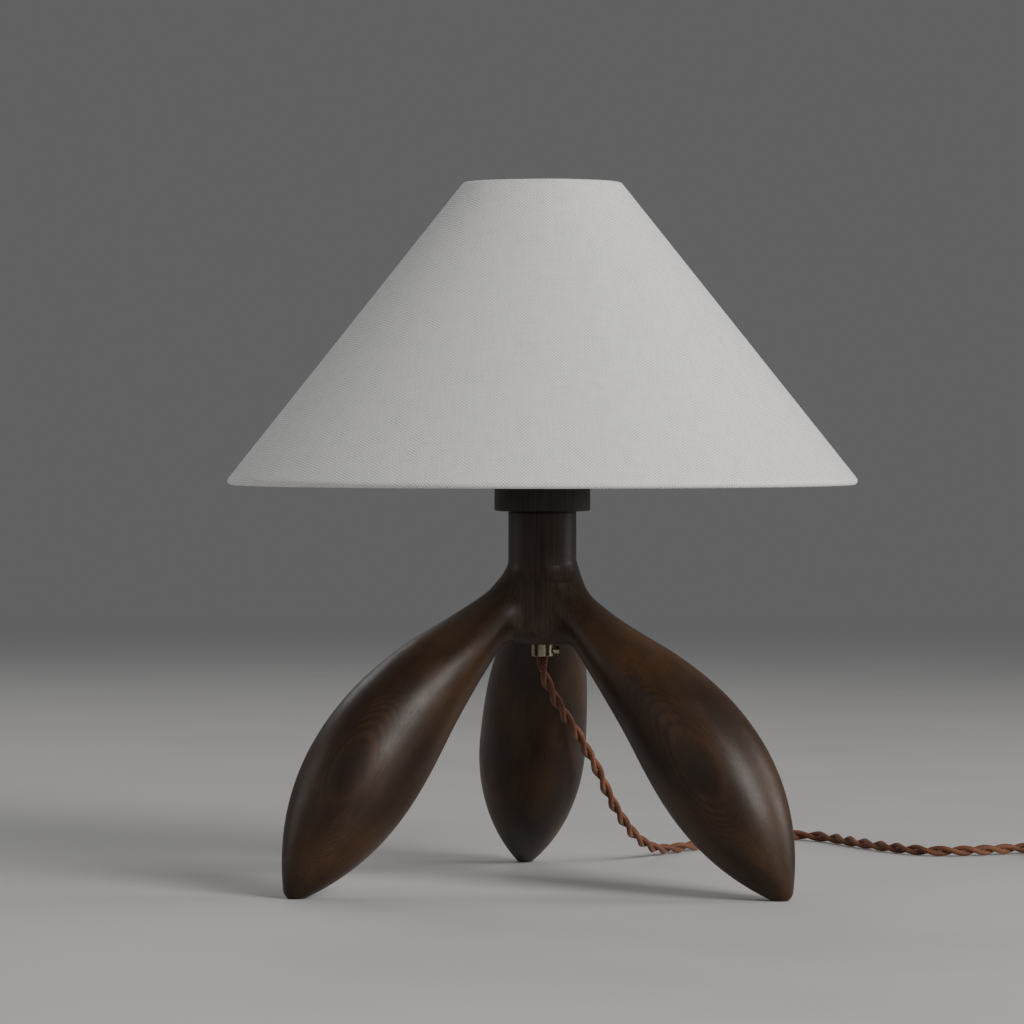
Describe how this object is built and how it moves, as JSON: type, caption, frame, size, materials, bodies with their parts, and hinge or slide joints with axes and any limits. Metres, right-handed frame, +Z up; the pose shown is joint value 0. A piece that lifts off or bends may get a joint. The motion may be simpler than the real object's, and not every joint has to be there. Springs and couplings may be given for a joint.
{
  "type": "table lamp",
  "caption": "Tripod table lamp with carved pod legs blended into a turned neck, a tapered fabric shade on a ring lampholder and a twisted cloth cord with plug.",
  "frame": {"origin": "on the table, under the lamp's axis", "axes": "+Z up along the lamp tube, +X to the right of the picture, +Y away from its viewer"},
  "size_m": [0.6598, 0.5432, 0.4477],
  "materials": {
    "walnut": "dark walnut stain, satin, grain along each leg",
    "dark_walnut": "near-black stained turned wood, satin",
    "beech": "plain beech dowel",
    "zinc_steel": "zinc plated",
    "antique_brass": "worn antique brass",
    "brass": "plain brass",
    "phenolic": "black moulded, slight gloss",
    "ceramic": "white unglazed ceramic look",
    "linen": "light grey fine woven fabric, matt",
    "styrene_lining": "off-white stiff lining",
    "white_wire": "white powder coat",
    "opal_glass": "opal white, smooth",
    "nickel_cap": "nickel plated",
    "black_glass": "black glass insulator",
    "cloth_flex": "copper-brown braided cloth, slight sheen",
    "tie_strap": "black strap",
    "plug_plastic": "dark brown moulded, fine texture",
    "nickel_pins": "nickel plated",
    "soft_rubber": "dark brown soft plastic"
  },
  "bodies": {
    "base": {"leg_left": "walnut", "leg_right": "walnut", "leg_back": "walnut", "leg_dowels": "beech", "neck": "walnut", "collar": "dark_walnut", "lamp_tube": "zinc_steel", "lower_washer": "antique_brass", "upper_washer": "zinc_steel", "tube_nut": "zinc_steel", "cord_gland": "antique_brass", "gland_screw": "antique_brass", "holder_cap": "phenolic", "holder_shell": "phenolic", "holder_body": "ceramic", "screw_shell": "brass", "centre_contact": "brass", "terminal_screws": "brass", "switch_contact": "brass", "ring_nut": "phenolic", "inner_cores": "cloth_flex", "cord_lead": "cloth_flex", "cord_coil": "cloth_flex", "coil_tie": "tie_strap", "cord_tail": "cloth_flex", "plug_lower": "plug_plastic", "plug_upper": "plug_plastic", "plug_pins": "nickel_pins", "plug_screw": "zinc_steel", "plug_sleeve": "soft_rubber"},
    "shade": {"shade_fabric": "linen", "shade_lining": "styrene_lining", "shade_top_wire": "white_wire", "shade_bottom_wire": "white_wire", "shade_fitter": "white_wire"},
    "switch": {"switch_bar": "phenolic"},
    "bulb_carrier": {"bulb_contact": "nickel_cap"},
    "bulb": {"bulb_glass": "opal_glass", "bulb_cap": "nickel_cap", "bulb_insulator": "black_glass"}
  },
  "joints": [
    {"name": "shade_turn", "type": "hinge", "parent": "base", "child": "shade", "pos_m": [0, 0, 0.29], "axis": [0, 0, 1], "continuous": true},
    {"name": "switch_slide", "type": "slide", "parent": "base", "child": "switch", "axis": [0, 1, 0], "range_m": [0, 0.005]},
    {"name": "bulb_lift", "type": "slide", "parent": "base", "child": "bulb_carrier", "axis": [0, 0, 1], "range_m": [0, 0.009]},
    {"name": "bulb_turn", "type": "hinge", "parent": "bulb_carrier", "child": "bulb", "pos_m": [0, 0, 0.33], "axis": [0, 0, 1], "range_deg": [0, 900]}
  ],
  "couplings": [
    {"joint": "bulb_turn", "follows": "bulb_lift", "rad_per_m": 1731.6}
  ]
}
